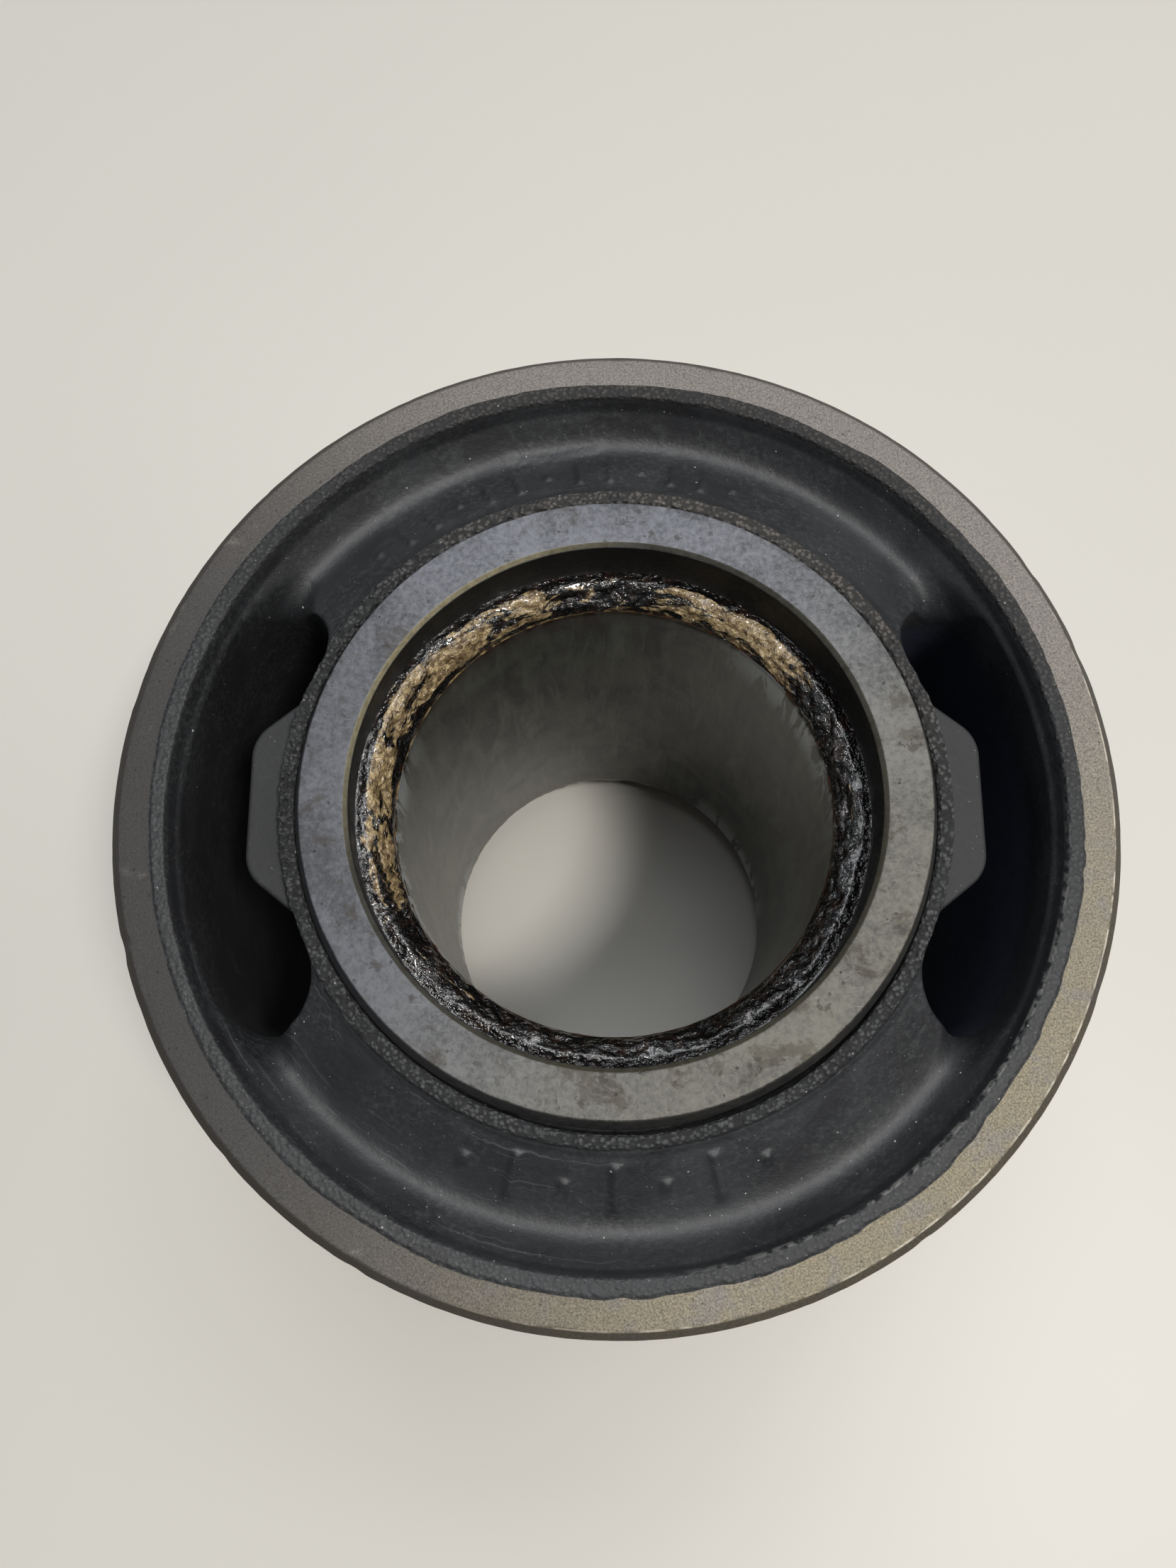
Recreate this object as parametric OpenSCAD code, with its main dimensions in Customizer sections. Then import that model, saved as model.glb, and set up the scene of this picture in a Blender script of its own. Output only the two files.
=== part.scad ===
// Voided rubber-metal pivot bushing with a plain bearing liner.
// The outer sleeve is pressed into a housing, and a pivot shaft runs in the liner of the inner
// sleeve. Rubber vulcanised to both sleeves carries the load, and two kidney-shaped voids make
// it soft along X.
// Frame: origin at the middle of the bore, +Z along the bore, +X through the middle of one void.
// All sizes are in millimetres.

/* [Outer sleeve] */
// Outside diameter, the press fit in the housing
outer_d = 100; // [99:0.5:106]
// Length of the outer sleeve
outer_len = 82; // [70:1:84]
// Wall of the outer sleeve
outer_wall = 4.5; // [3:0.1:4.6]
// Chamfer on both outer edges
outer_chamfer = 0.9; // [0.3:0.1:1.5]

/* [Inner sleeve] */
// Outside diameter, the surface that the rubber is bonded to
sleeve_d = 63; // [61:0.5:64]
// Length of the inner sleeve, a little proud of the outer one at each end
sleeve_len = 88; // [87:1:96]
// Height of the lead-in taper at each end
taper_len = 2.1; // [1:0.1:2.4]
// How far the lead-in taper cuts into the radius
taper_depth = 0.75; // [0.3:0.05:1]

/* [Seal seats] */
// Diameter of the seal seat at each end of the inner sleeve
seat_d = 52; // [51.5:0.1:54]
// Depth of each seal seat
seat_depth = 9; // [4:0.5:12]
// Chamfer on the mouth of each seal seat
seat_chamfer = 0.45; // [0.2:0.05:0.8]

/* [Bearing liner] */
// Bore of the liner, the running fit on the shaft
bore_d = 45; // [40:0.5:46]
// Wall of the liner
liner_wall = 2.5; // [1.5:0.1:2.6]
// Chamfer on the liner's bore at both ends
liner_chamfer = 0.2; // [0.1:0.05:0.5]

/* [Rubber] */
// Thickness of the skin bonded to the outer sleeve
outer_skin = 1.9; // [1:0.1:2.2]
// Thickness of the skin bonded to the inner sleeve
inner_skin = 1.6; // [1:0.1:2]
// Width of the thin flash that lies on each rim of the outer sleeve
flash_w = 0.9; // [0.3:0.1:1.5]
// Thickness of that flash
flash_t = 0.3; // [0.1:0.05:0.5]
// Depth of the ring-shaped valley in each leg's end, below the rim
valley_depth = 5.2; // [2:0.1:8]
// Radius of the valley's lowest line
valley_r = 41; // [39:0.1:42]
// Radius where the cone above the valley ends, beside the inner skin
cone_top_r = 34.5; // [34:0.1:36]

/* [Voids and stops] */
// Half the angle that each void covers, seen from the axis
void_half_angle = 34; // [28:1:40]
// Radius of the hollowed flank of each leg
flank_r = 6; // [5.8:0.1:9]
// Reach of each stop lobe from the axis
stop_reach = 36.6; // [35.5:0.1:38]
// Width of the flat face of each stop lobe
stop_face_w = 10; // [6:0.5:12]
// Width of each stop lobe at its root
stop_root_w = 22.4; // [20:0.2:26]
// Radius of each lobe's two outer edges
stop_edge_r = 4; // [1:0.1:4.2]
// How far each lobe's ends sit below the rims
stop_setback = 1; // [0.5:0.5:12]

/* [Hidden] */
$fn = 128;

rim_z = outer_len / 2;
face_z = sleeve_len / 2;
outer_r = outer_d / 2;
tube_r = outer_r - outer_wall;
void_out_r = tube_r - outer_skin;
sleeve_r = sleeve_d / 2;
void_in_r = sleeve_r + inner_skin;
seat_r = seat_d / 2;
bore_r = bore_d / 2;
liner_r = bore_r + liner_wall;
seat_z = face_z - seat_depth;
collar_z = face_z - taper_len;

// The outer skin leans outward over its last stretch up to the rim
lip_wall = 0.9;
lip_height = 2.2;
skin_lip_r = tube_r - lip_wall;
skin_lip_z = rim_z - lip_height;
// The cone meets the inner skin above the rim, and its edge is a little below the rim
cone_rise = 0.8;
cone_drop = 0.3;
cone_meet_z = rim_z + cone_rise;
cone_top_z = rim_z - cone_drop;
// The valley's floor is nearly flat, and its outer side starts at this foot
floor_w = 1;
floor_slope = 0.3;
foot_w = 0.9;
foot_drop = 4.5;
valley_z = rim_z - valley_depth;
wall_foot_r = void_out_r - foot_w;
wall_foot_z = rim_z - foot_drop;
flank_centre_r = (void_in_r + void_out_r) / 2;
flank_angle = void_half_angle - asin(flank_r / flank_centre_r);
cut_size = 2 * outer_d;
stop_edge_steps = 8;

// Adds its mirror image to the upper half of an outline
function both_ends(upper) =
    concat(upper, [for (i = [len(upper) - 1 : -1 : 0]) [upper[i].x, -upper[i].y]]);

// Points of an arc about c, from angle a0 to a1
function arc(c, r, a0, a1, steps) =
    [for (i = [0 : steps]) c + r * [cos(a0 + (a1 - a0) * i / steps), sin(a0 + (a1 - a0) * i / steps)]];

// One void's plan: a wedge between the two legs with a hollow at each end
module void_plan() {
    reach = outer_d;
    side = reach * tan(flank_angle);
    polygon([[0, 0], [reach, -side], [reach, side]]);
    for (end = [-1, 1])
        rotate(end * flank_angle)
            translate([flank_centre_r, 0])
                circle(r = flank_r);
}

// Both voids, cut right through
module voids() {
    for (turn = [0, 180])
        rotate(turn)
            linear_extrude(height = cut_size, center = true)
                void_plan();
}

// A full ring of the rubber that joins the two skins, with its dished ends
module leg_ring() {
    upper = [
        [void_in_r, cone_meet_z],
        [cone_top_r, cone_top_z],
        [valley_r - floor_w, valley_z + floor_slope],
        [valley_r, valley_z],
        [wall_foot_r, wall_foot_z],
        [void_out_r, skin_lip_z]
    ];
    rotate_extrude()
        polygon(both_ends(upper));
}

// One leg: the part of the ring on one side of the voids
module leg(side) {
    difference() {
        leg_ring();
        voids();
        translate([-cut_size / 2, side > 0 ? -cut_size : 0, -cut_size / 2])
            cube(cut_size);
    }
}

// Plan of one stop lobe on the +X side: a flat face, two round edges and straight shoulders
module stop_plan() {
    root_y = stop_root_w / 2;
    root = [sqrt(void_in_r * void_in_r - root_y * root_y), root_y];
    centre = [stop_reach - stop_edge_r, stop_face_w / 2];
    away = root - centre;
    sweep = atan2(away.y, away.x) - acos(stop_edge_r / norm(away));
    polygon(both_ends(concat([root], arc(centre, stop_edge_r, sweep, 0, stop_edge_steps))));
}

module outer_sleeve() {
    upper = [
        [tube_r, rim_z],
        [outer_r - outer_chamfer, rim_z],
        [outer_r, rim_z - outer_chamfer]
    ];
    color("#7d786d")
        rotate_extrude()
            polygon(both_ends(upper));
}

module rubber_outer_skin() {
    upper = [
        [void_out_r, skin_lip_z],
        [skin_lip_r, rim_z],
        [skin_lip_r + flash_t, rim_z + flash_t],
        [tube_r + flash_w - flash_t, rim_z + flash_t],
        [tube_r + flash_w, rim_z],
        [tube_r, rim_z]
    ];
    color("#23282a")
        rotate_extrude()
            polygon(both_ends(upper));
}

module rubber_leg_front() {
    color("#262b2d")
        leg(-1);
}

module rubber_leg_rear() {
    color("#262b2d")
        leg(1);
}

module rubber_inner_skin() {
    color("#2b2e2f")
        difference() {
            union() {
                cylinder(r = void_in_r, h = 2 * collar_z, center = true);
                for (turn = [0, 180])
                    rotate(turn)
                        linear_extrude(height = 2 * (rim_z - stop_setback), center = true)
                            stop_plan();
            }
            cylinder(r = sleeve_r, h = cut_size, center = true);
        }
}

module inner_sleeve() {
    upper = [
        [liner_r, seat_z],
        [seat_r, seat_z],
        [seat_r, face_z - seat_chamfer],
        [seat_r + seat_chamfer, face_z],
        [sleeve_r - taper_depth, face_z],
        [sleeve_r, collar_z]
    ];
    color("#84868a")
        rotate_extrude()
            polygon(both_ends(upper));
}

module bearing_liner() {
    upper = [
        [bore_r, seat_z - liner_chamfer],
        [bore_r + liner_chamfer, seat_z],
        [liner_r, seat_z]
    ];
    color("#7c7554")
        rotate_extrude()
            polygon(both_ends(upper));
}

outer_sleeve();
rubber_outer_skin();
rubber_leg_front();
rubber_leg_rear();
rubber_inner_skin();
inner_sleeve();
bearing_liner();
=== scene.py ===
"""Looks of a used rubber-metal pivot bushing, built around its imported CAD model.

The rubber, the two steel sleeves, the bearing liner and the old grease are swept
meshes: a section, changed a little from column to column, goes once round the bore.
Lengths are in millimetres and angles in radians until make_mesh() writes metres.
"""

import math

import bpy
import numpy as np
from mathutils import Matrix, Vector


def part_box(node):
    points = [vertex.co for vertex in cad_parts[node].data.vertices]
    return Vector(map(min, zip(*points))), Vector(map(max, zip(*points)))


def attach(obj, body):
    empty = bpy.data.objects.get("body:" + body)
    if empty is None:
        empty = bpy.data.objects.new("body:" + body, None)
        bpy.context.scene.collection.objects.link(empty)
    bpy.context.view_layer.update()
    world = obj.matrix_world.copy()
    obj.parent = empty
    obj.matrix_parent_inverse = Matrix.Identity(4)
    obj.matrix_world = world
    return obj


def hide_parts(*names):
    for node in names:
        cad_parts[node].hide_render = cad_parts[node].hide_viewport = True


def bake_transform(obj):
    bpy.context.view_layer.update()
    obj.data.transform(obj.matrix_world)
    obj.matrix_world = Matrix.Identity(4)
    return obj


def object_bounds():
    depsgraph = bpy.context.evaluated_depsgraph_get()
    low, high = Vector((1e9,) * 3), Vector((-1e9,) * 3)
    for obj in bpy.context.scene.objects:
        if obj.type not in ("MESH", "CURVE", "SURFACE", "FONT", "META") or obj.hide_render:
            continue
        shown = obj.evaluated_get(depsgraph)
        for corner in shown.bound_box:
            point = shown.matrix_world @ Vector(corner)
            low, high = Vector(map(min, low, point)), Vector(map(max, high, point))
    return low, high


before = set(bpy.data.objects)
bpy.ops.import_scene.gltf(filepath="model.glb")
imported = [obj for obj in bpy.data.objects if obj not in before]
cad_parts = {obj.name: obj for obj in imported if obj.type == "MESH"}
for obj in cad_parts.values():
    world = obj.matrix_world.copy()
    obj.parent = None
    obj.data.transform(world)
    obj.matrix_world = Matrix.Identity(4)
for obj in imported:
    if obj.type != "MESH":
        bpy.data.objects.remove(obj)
cad_low, cad_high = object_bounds()

MM = 0.001
TURN = 2 * math.pi


def node_reach(node):
    """Outer radius and upper height of a CAD node, in millimetres."""
    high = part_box(node)[1]
    return round(high.x / MM, 3), round(high.z / MM, 3)


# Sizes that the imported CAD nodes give
OUTER_R, RIM_Z = node_reach("outer_sleeve")
SLEEVE_R, FACE_Z = node_reach("inner_sleeve")
LINER_R, SEAT_Z = node_reach("bearing_liner")

# Steel
TUBE_R = 45.5  # bore of the outer sleeve
RIM_CHAMFER = 0.9
SEAT_R = 26.0  # seal seat at each end of the inner sleeve
SEAT_CHAMFER = 0.45
TAPER_LENGTH = 2.1
TAPER_DEPTH = 0.75
FACE_R = SLEEVE_R - TAPER_DEPTH
BORE_R = 22.5
LINER_CHAMFER = 0.2
CORNER_R = 0.12  # rounding of every turned corner
CORNER_POINTS = 5

# Rubber, heights from the rim plane
FLASH_R = 46.2  # the moulding flash covers the rim out to here
FLASH_T = 0.3
FLASH_END_T = 0.06
VOID_OUT_R = 43.6
VOID_IN_R = 33.1
VOID_MID_R = (VOID_OUT_R + VOID_IN_R) / 2
VOID_END_R = (VOID_OUT_R - VOID_IN_R) / 2
VOID_ARC = math.radians(26.2)  # from X to the centre of a void's round end
FAN_ANGLE = math.radians(42.0)  # where the column from a void's tip meets the rim
SEAM_R = 36.8  # the two rubber pieces meet here, inside the legs
LIP_R = 44.5  # the bowl of the end face turns into the flash here
BOND_DROP = 0.5  # the rubber's bond on the tube starts this far below the rim
FLASH_SINK = 0.02  # depth of the flash's underside in the rim
COLLAR_Z = 1.0  # rough collar round the inner sleeve
COLLAR_R = 33.25  # where the collar gives way to the cone
COLLAR_STEP = 0.45  # width of the step down from the collar to a lobe
GROOVE_DEPTH = 1.6  # between the collar and the sleeve
GROOVE_GAP = 0.12
GROOVE_OPENING = 0.38  # wider by this where it has opened
CROWN = [
    (31.0, COLLAR_Z),
    (33.0, 0.95),
    (34.5, -0.3),
    (38.0, -3.1),
    (39.8, -4.5),
    (41.0, -5.1),
    (42.0, -4.9),
    (42.9, -3.9),
    (VOID_OUT_R, -2.3),
    (LIP_R, FLASH_T),
    (48.0, FLASH_T),
]  # radius and height of the rubber's end face over a leg
LOBE_REACH = 36.6
LOBE_HALF_FACE = 5.0
LOBE_EDGE_R = 4.0
LOBE_ROOT = (31.2, 11.2)
LOBE_Z = -1.0
LOBE_EDGE = 0.4
LOBE_ARC_POINTS = 24
SOFT_EDGE = 4.0  # the legs roll off this far at the outer half of a void

# Spacing of the rubber's mesh
COLUMN_GAP = 0.25  # along a void's outline
SAMPLE_GAP = 0.34  # across the end faces
EDGE_GAP = 0.12  # the same at edges and rough bands
TRIAL_SAMPLES = 160
WALL_SHARES = [0.004, 0.02, 0.08, 0.25, 0.5, 0.75, 0.92, 0.98, 0.996]
TOP_SAMPLES = 44
BOTTOM_SAMPLES = 26
TOP_SEED, BOTTOM_SEED = 100, 300

SHARP_ANGLE = math.radians(55)  # edges bent more than this stay sharp
NOISE_START = -50.0  # across the ring
NOISE_SPAN = 110.0
NOISE_R = 40.0  # a noise cell has its size at this radius


# ------------ shape helpers


def smooth(value, low, high):
    """0 below low, 1 above high, and a smooth step between."""
    t = np.clip((value - low) / (high - low), 0, 1)
    return t * t * (3 - 2 * t)


def ring_noise(seed, angle, across, cell, stretch=1.0):
    """Seeded noise from -1 to 1 that closes on itself round the ring."""
    columns = max(8, round(TURN * NOISE_R / (cell * stretch)))
    rows = int(NOISE_SPAN / cell) + 3
    table = np.random.default_rng(seed).uniform(-1, 1, (columns, rows))
    a = (angle % TURN) / TURN * columns
    b = np.clip((across - NOISE_START) / cell, 0, rows - 2)
    i, j = np.floor(a).astype(int), np.floor(b).astype(int)
    u, v = smooth(a - i, 0, 1), smooth(b - j, 0, 1)
    i, k = i % columns, (i + 1) % columns
    low = table[i, j] * (1 - u) + table[k, j] * u
    high = table[i, j + 1] * (1 - u) + table[k, j + 1] * u
    return low * (1 - v) + high * v


def round_noise(seed, angle, cell):
    """Seeded noise that changes only round the ring."""
    return ring_noise(seed, angle, 0 * angle, cell)


def angle_from(angle, degrees):
    """Angle from a place on the ring, from minus to plus half a turn."""
    return (angle - math.radians(degrees) + math.pi) % TURN - math.pi


def near_angle(angle, degrees, spread):
    """1 at an angle round the ring, falling smoothly to 0 at spread degrees from it."""
    return 1 - smooth(np.abs(angle_from(angle, degrees)), 0, math.radians(spread))


def make_mesh(name, points, angle, across, body, looks, nodes, creases=()):
    """A closed swept mesh from points[column, sample] that rides on a body.

    Looks are a slot, which is not used, and a material, and nodes the CAD nodes that it
    replaces.
    """
    slot, material = looks
    columns, samples = points.shape[:2]
    column, sample = np.indices((columns, samples))
    after, above = (column + 1) % columns, (sample + 1) % samples
    corners = [(column, sample), (after, sample), (after, above), (column, above)]
    faces = np.stack([c * samples + s for c, s in corners], axis=-1).reshape(-1, 4)
    if swept_volume(points) < 0:
        faces = faces[:, ::-1]
    mesh = bpy.data.meshes.new(name)
    flat = points.reshape(-1, 3)
    mesh.from_pydata((flat * MM).tolist(), [], faces.tolist())
    add_vectors(mesh, "rest_mm", flat)
    ring = np.stack([np.cos(angle), np.sin(angle), across], axis=-1)
    add_vectors(mesh, "ring", ring.reshape(-1, 3))
    mesh.shade_smooth()
    mesh.set_sharp_from_angle(angle=SHARP_ANGLE)
    crease(mesh, samples, creases)
    mesh.materials.append(material)
    piece = bpy.data.objects.new(name, mesh)
    bpy.context.scene.collection.objects.link(piece)
    if nodes:
        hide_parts(*nodes)
    if body:
        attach(piece, body)
    return piece


def swept_volume(points):
    """Positive if the faces in grid order look outwards."""
    along = np.roll(points, -1, axis=0) - points
    up = np.roll(points, -1, axis=1) - points
    return float(np.sum(points * np.cross(along, up)))


def crease(mesh, samples, rings):
    """Makes the edges that go round the ring at these samples sharp."""
    ends = np.zeros(len(mesh.edges) * 2, np.int32)
    mesh.edges.foreach_get("vertices", ends)
    first, second = (ends.reshape(-1, 2) % samples).T
    sharp = np.zeros(len(mesh.edges), bool)
    mesh.edges.foreach_get("use_edge_sharp", sharp)
    sharp |= (first == second) & np.isin(first, rings)
    mesh.edges.foreach_set("use_edge_sharp", sharp)


def add_vectors(mesh, name, values):
    """A vector per vertex that a material can read, and that a pose doesn't change."""
    layer = mesh.attributes.new(name, "FLOAT_VECTOR", "POINT")
    layer.data.foreach_set("vector", values.astype(np.float32).ravel())


def in_space(angle, radius, height):
    """Points from polar positions."""
    return np.stack([radius * np.cos(angle), radius * np.sin(angle), height], axis=-1)


def section_length(radius, height):
    """Distance along each column's section."""
    step = np.hypot(np.diff(radius, axis=1), np.diff(height, axis=1))
    return np.concatenate([np.zeros((len(radius), 1)), np.cumsum(step, axis=1)], axis=1)


# ------------ rubber outline


def lobe_outline():
    """Angle and radius of half a stop lobe, from its middle to its root."""
    face_end = np.array([LOBE_REACH - LOBE_EDGE_R, LOBE_HALF_FACE])
    root = np.array(LOBE_ROOT)
    away = root - face_end
    tilt = math.atan2(away[1], away[0]) - math.acos(LOBE_EDGE_R / np.hypot(*away))
    turn = np.linspace(0, tilt, LOBE_ARC_POINTS)
    arc = face_end + LOBE_EDGE_R * np.stack([np.cos(turn), np.sin(turn)], axis=-1)
    path = np.vstack([[LOBE_REACH, 0], arc, root])
    run = np.concatenate([[0], np.cumsum(np.hypot(*np.diff(path, axis=0).T))])
    at = np.linspace(0, run[-1], round(run[-1] / COLUMN_GAP) + 1)
    x, y = np.interp(at, run, path[:, 0]), np.interp(at, run, path[:, 1])
    return np.arctan2(y, x), np.hypot(x, y)


LOBE_ANGLE, LOBE_RADIUS = lobe_outline()
LOBE_RADIUS[-1] = VOID_IN_R
LOBE_SLOPE = np.gradient(LOBE_RADIUS, LOBE_ANGLE) / LOBE_RADIUS


def evenly(start, end, length):
    """Numbers from start up to end, COLUMN_GAP apart along a path of that length."""
    return np.linspace(start, end, round(length / COLUMN_GAP) + 1)[:-1]


def seam_angles():
    """Angles of the columns that end on the seam, over a quarter of the ring."""
    reach = math.sqrt(VOID_END_R**2 - (VOID_MID_R - SEAM_R) ** 2)
    first = VOID_ARC + reach / VOID_MID_R
    last = math.pi / 2
    return np.append(evenly(first, last, (last - first) * SEAM_R), last)


def whole_ring(quarter):
    """Mirrors rows of (angle, radius, far angle) from a quarter to the whole ring."""
    back = quarter[:0:-1] * (-1, 1, -1) + (math.pi, 0, math.pi)
    half = np.vstack([quarter[:-1], back])
    return np.vstack([half, half + (math.pi, 0, math.pi)])


def outer_columns():
    """Where each column of the outer rubber ends, and its angle at the rim."""
    void = evenly(0, VOID_ARC, VOID_ARC * VOID_OUT_R)
    last_turn = math.acos((SEAM_R - VOID_MID_R) / VOID_END_R)
    turn = evenly(0, last_turn, last_turn * VOID_END_R)
    tip = VOID_ARC + VOID_END_R * np.sin(turn) / VOID_MID_R
    fan = VOID_ARC + (FAN_ANGLE - VOID_ARC) * turn / last_turn
    seam = seam_angles()
    share = (seam - seam[0]) / (seam[-1] - seam[0])
    legs = FAN_ANGLE + (math.pi / 2 - FAN_ANGLE) * share
    quarter = [
        np.stack([void, np.full_like(void, VOID_OUT_R), void], axis=-1),
        np.stack([tip, VOID_MID_R + VOID_END_R * np.cos(turn), fan], axis=-1),
        np.stack([seam, np.full_like(seam, SEAM_R), legs], axis=-1),
    ]
    return whole_ring(np.vstack(quarter))


def inner_columns():
    """Where each column of the inner rubber ends, and its angle at the sleeve."""
    void = evenly(LOBE_ANGLE[-1], VOID_ARC, (VOID_ARC - LOBE_ANGLE[-1]) * VOID_IN_R)
    last_turn = math.acos((VOID_MID_R - SEAM_R) / VOID_END_R)
    turn = evenly(0, last_turn, last_turn * VOID_END_R)
    tip = VOID_ARC + VOID_END_R * np.sin(turn) / VOID_MID_R
    seam = seam_angles()
    lobe = LOBE_ANGLE[:-1]
    quarter = [
        np.stack([lobe, LOBE_RADIUS[:-1], lobe], axis=-1),
        np.stack([void, np.full_like(void, VOID_IN_R), void], axis=-1),
        np.stack([tip, VOID_MID_R - VOID_END_R * np.cos(turn), tip], axis=-1),
        np.stack([seam, np.full_like(seam, SEAM_R), seam], axis=-1),
    ]
    return whole_ring(np.vstack(quarter))


def from_x_axis(angle):
    """Angle to the nearer end of the X axis, from 0 to 90 degrees."""
    folded = np.abs(angle % math.pi)
    return np.minimum(folded, math.pi - folded)


def void_distance(angle, radius):
    """Distance from the edge of the nearer void, measured in the rubber."""
    off = from_x_axis(angle)
    beyond = np.maximum(off - VOID_ARC, 0) * VOID_MID_R
    plain = np.hypot(beyond, radius - VOID_MID_R) - VOID_END_R
    reach = np.interp(off, LOBE_ANGLE, LOBE_RADIUS)
    slope = np.interp(off, LOBE_ANGLE, LOBE_SLOPE)
    lobe = (reach - radius) / np.hypot(1, slope)
    on_lobe = (off < LOBE_ANGLE[-1]) & (radius < VOID_MID_R)
    return np.maximum(np.where(on_lobe, lobe, plain), 0)


# ------------ rubber relief


CROWN_SOFT = 1.6  # width of the rounding over the legs
CROWN_CRISP = 0.16  # the same at the collar and the lip
CROWN_STEP = 0.02
CROWN_WINDOW = 120  # steps on each side that the rounding reads


def rounded_heights(height, width):
    """Heights blurred by a bell curve of that width, in millimetres."""
    reach = np.arange(-CROWN_WINDOW, CROWN_WINDOW + 1)
    bell = np.exp(-((reach * CROWN_STEP / width) ** 2) / 2)
    return np.convolve(height, bell / bell.sum(), mode="same")


def smooth_crown():
    """Radius and height of CROWN with its corners rounded."""
    radius = np.arange(28.0, OUTER_R, CROWN_STEP)
    height = np.interp(radius, *np.array(CROWN).T)
    soft = rounded_heights(height, CROWN_SOFT)
    crisp = rounded_heights(height, CROWN_CRISP)
    at_collar = 1 - smooth(radius, 33.6, 34.2)
    at_edge = np.maximum(at_collar, smooth(radius, LIP_R - 0.6, LIP_R - 0.2))
    return radius, soft * (1 - at_edge) + crisp * at_edge


CROWN_RADIUS, CROWN_HEIGHT = smooth_crown()

# Generic raised moulding marks: (degrees, half width, half height) round a mid radius
UPPER_MARKS = [(132 - 5.2 * i, 0.38, 1.8 if i % 3 else 0.38) for i in range(13)]
LOWER_MARKS = [(247 + 7.6 * i, 0.45, 2.1 if i % 2 else 0.45) for i in range(7)]
MARK_R = 36.9
MARK_HEIGHT = 0.5
MARK_SOFT = 0.42
FLOW_LINE_HEIGHT = 0.24


def raised_marks(angle, radius, marks):
    """Height of the low bars and dots moulded on the cone."""
    height = np.zeros_like(radius)
    for degrees, half_width, half_height in marks:
        side = np.abs(angle_from(angle, degrees) * MARK_R) - half_width
        end = np.abs(radius - MARK_R) - half_height
        outside = np.hypot(np.maximum(side, 0), np.maximum(end, 0))
        away = outside + np.minimum(np.maximum(side, end), 0)
        height += MARK_HEIGHT * (1 - smooth(away, -MARK_SOFT, MARK_SOFT))
    return height


def flow_line(angle, radius, degrees, spread, at, bend):
    """A thin raised line that the rubber left where it flowed in the mould."""
    off = np.degrees(angle_from(angle, degrees))
    line = at + bend * (off / spread) ** 2
    width = 1 - smooth(np.abs(radius - line), 0.08, 0.34)
    return FLOW_LINE_HEIGHT * width * (1 - smooth(np.abs(off), spread * 0.8, spread))


def collar_edge(angle, seed):
    """Radius where the rough collar gives way to the smooth cone."""
    wander = round_noise(seed + 1, angle, 3.0)
    return COLLAR_R + 0.14 * wander + 0.1 * round_noise(seed + 2, angle, 0.9)


def collar_grain(angle, radius, seed):
    """Torn and trimmed rubber of the collar round the inner sleeve."""
    coarse = ring_noise(seed + 3, angle, radius, 0.9)
    fine = ring_noise(seed + 4, angle, radius, 0.45)
    cracks = ring_noise(seed + 5, angle, radius, 0.55, 0.9)
    torn = 0.45 + 0.65 * near_angle(angle, 165, 110)
    cracked = near_angle(angle, 182, 34)
    grain = 0.26 * coarse + 0.26 * fine - 0.4 * cracked * np.abs(cracks)
    edge = collar_edge(angle, seed)
    band = 1 - smooth(radius, edge - 0.12, edge + 0.2)
    return band * torn * grain


def flash_grain(angle, radius, seed):
    """Grain of the thin flash that lies on the rim."""
    coarse = ring_noise(seed + 6, angle, radius, 0.8)
    fine = ring_noise(seed + 7, angle, radius, 0.4)
    rough = 0.35 + 0.65 * near_angle(angle, 70, 95)
    band = smooth(radius, LIP_R - 0.2, LIP_R + 0.2)
    return band * rough * (0.045 * coarse + 0.05 * fine)


def edge_drop(angle, radius):
    """How far the end face drops towards a void, as a quarter round."""
    softer = smooth(radius, 38.0, 41.0) * (1 - smooth(radius, 42.4, VOID_OUT_R))
    edge = LOBE_EDGE + SOFT_EDGE * softer
    inside = np.maximum(edge - void_distance(angle, radius), 0)
    return edge - np.sqrt(np.maximum(edge**2 - inside**2, 0))


def rubber_top(angle, radius, flash_edge, seed, marks):
    """Height of the rubber's end face above the rim plane."""
    crown = np.interp(radius, CROWN_RADIUS, CROWN_HEIGHT)
    on_step = smooth(radius, VOID_IN_R, VOID_IN_R + COLLAR_STEP)
    step = COLLAR_Z + (LOBE_Z - COLLAR_Z) * on_step
    on_lobe = (from_x_axis(angle) < LOBE_ANGLE[-1] + 0.02) & (radius < VOID_MID_R)
    height = np.where(on_lobe, step, crown) - edge_drop(angle, radius)
    height += 0.07 * ring_noise(seed + 8, angle, radius, 6.0, 2.0)
    height += collar_grain(angle, radius, seed) + flash_grain(angle, radius, seed)
    on_leg = 1 - near_angle(angle, 0, 40) - near_angle(angle, 180, 40)
    height += raised_marks(angle, radius, marks) * np.clip(on_leg, 0, 1)
    height += flow_line(angle, radius, 99, 8.5, 40.6, 0.9)
    height += flow_line(angle, radius, 222, 9, 44.0, 0.5)
    if flash_edge is not None:
        thinned = smooth(radius, flash_edge - 0.4, flash_edge)
        height -= (FLASH_T - FLASH_END_T) * thinned
    return height


# ------------ rubber pieces


def spread_samples(angle, radius, height, spacing, count):
    """Shares along each column that put count samples as densely as spacing asks."""
    run = np.hypot(np.diff(radius, axis=1), np.diff(height, axis=1))
    run += np.abs(np.diff(angle, axis=1)) * radius[:, 1:]
    weight = run / ((spacing[:, 1:] + spacing[:, :-1]) / 2)
    total = np.concatenate([np.zeros((len(run), 1)), np.cumsum(weight, axis=1)], axis=1)
    share = np.linspace(0, 1, radius.shape[1])
    wanted = np.linspace(0, 1, count)
    return np.stack([np.interp(wanted * t[-1], t, share) for t in total])


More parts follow.
